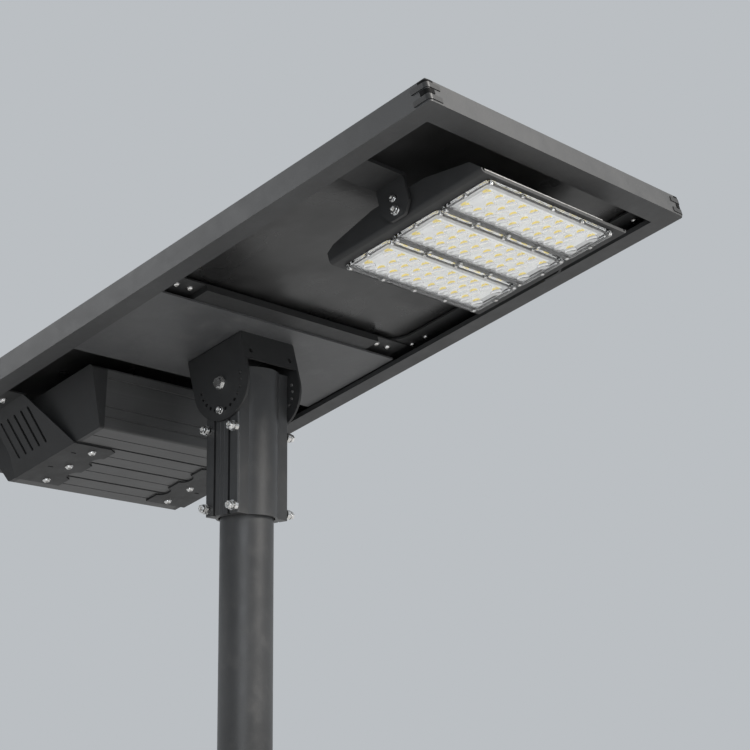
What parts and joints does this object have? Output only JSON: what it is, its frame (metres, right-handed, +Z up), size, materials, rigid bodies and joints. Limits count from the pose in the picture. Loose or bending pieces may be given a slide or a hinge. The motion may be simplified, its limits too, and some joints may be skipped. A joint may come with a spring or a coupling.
{
  "type": "solar street lamp",
  "caption": "Solar street lamp head on a pole top: tilting photovoltaic panel, LED lamp tray with lens modules, strapped battery box, tilt bracket and pole sleeve.",
  "frame": {"origin": "centre of the pole section's lower end", "axes": "+Z up along the pole, +Y towards the battery end of the panel, +X across the panel's width; the lamp end faces -Y"},
  "size_m": [0.5624, 1.0323, 0.9351],
  "materials": {
    "coated_frame": "satin powder coat",
    "coated_pole": "satin powder coat",
    "coated_box": "satin anodised extrusion",
    "black_plastic": "matte",
    "bright_steel": "satin",
    "plain_aluminium": "satin",
    "clear_glass": "clear low-iron glass",
    "cell_black": "dark silicon under glass",
    "back_black": "matte",
    "clear_lens": "clear polycarbonate",
    "board_white": "white solder mask",
    "led_yellow": "phosphor",
    "seal_rubber": "matte",
    "cell_wrap": "shrink wrap"
  },
  "bodies": {
    "pole": {"pole_section": "coated_pole", "pole_plug": "black_plastic"},
    "sleeve": {"pole_sleeve": "coated_pole", "set_bolts": "bright_steel", "set_nuts": "bright_steel", "pivot_bolt": "bright_steel", "pivot_washers": "bright_steel", "pivot_nut": "bright_steel"},
    "head": {"backsheet": "back_black", "battery_cap_left": "coated_box", "battery_cap_right": "coated_box", "battery_cells": "cell_wrap", "battery_housing": "coated_box", "battery_strap_left": "coated_frame", "battery_strap_right": "coated_frame", "bay_strip_left": "coated_frame", "bay_strip_right": "coated_frame", "bracket_bolts": "bright_steel", "bracket_nuts": "bright_steel", "charge_controller": "board_white", "clevis_bracket": "coated_frame", "corner_key_front_left": "black_plastic", "corner_key_front_right": "black_plastic", "corner_key_rear_left": "black_plastic", "corner_key_rear_right": "black_plastic", "crossbar_front": "coated_frame", "crossbar_rear": "coated_frame", "frame_screws": "bright_steel", "junction_box": "black_plastic", "led_bracket_left": "coated_frame", "led_bracket_right": "coated_frame", "led_bracket_screws": "bright_steel", "lock_bolts": "bright_steel", "mounting_plate": "coated_frame", "rail_front": "coated_frame", "rail_left": "coated_frame", "rail_rear": "coated_frame", "rail_right": "coated_frame", "rear_strip_left": "coated_frame", "rear_strip_right": "coated_frame", "solar_cells": "cell_black", "solar_glass": "clear_glass", "strap_screws": "bright_steel"},
    "tray": {"light_tray": "coated_frame", "tray_pivot_bolts": "bright_steel", "tray_lock_bolts": "bright_steel", "tray_spacers_nuts": "bright_steel", "module_1_heatsink": "plain_aluminium", "module_2_heatsink": "plain_aluminium", "module_3_heatsink": "plain_aluminium", "module_1_lens": "clear_lens", "module_2_lens": "clear_lens", "module_3_lens": "clear_lens", "module_boards": "board_white", "module_gaskets": "seal_rubber", "led_chips": "led_yellow", "lens_screws": "bright_steel"}
  },
  "joints": [
    {"name": "sleeve_swivel", "type": "hinge", "parent": "pole", "child": "sleeve", "pos_m": [0, 0, 0.6], "axis": [0, 0, 1], "continuous": true},
    {"name": "panel_tilt", "type": "hinge", "parent": "sleeve", "child": "head", "pos_m": [0, 0, 0.7], "axis": [-1, 0, 0], "range_deg": [-15, 30]},
    {"name": "lamp_tilt", "type": "hinge", "parent": "head", "child": "tray", "pos_m": [0, -0.41597, 0.83216], "axis": [1, 0, 0], "range_deg": [-8, 8]}
  ]
}
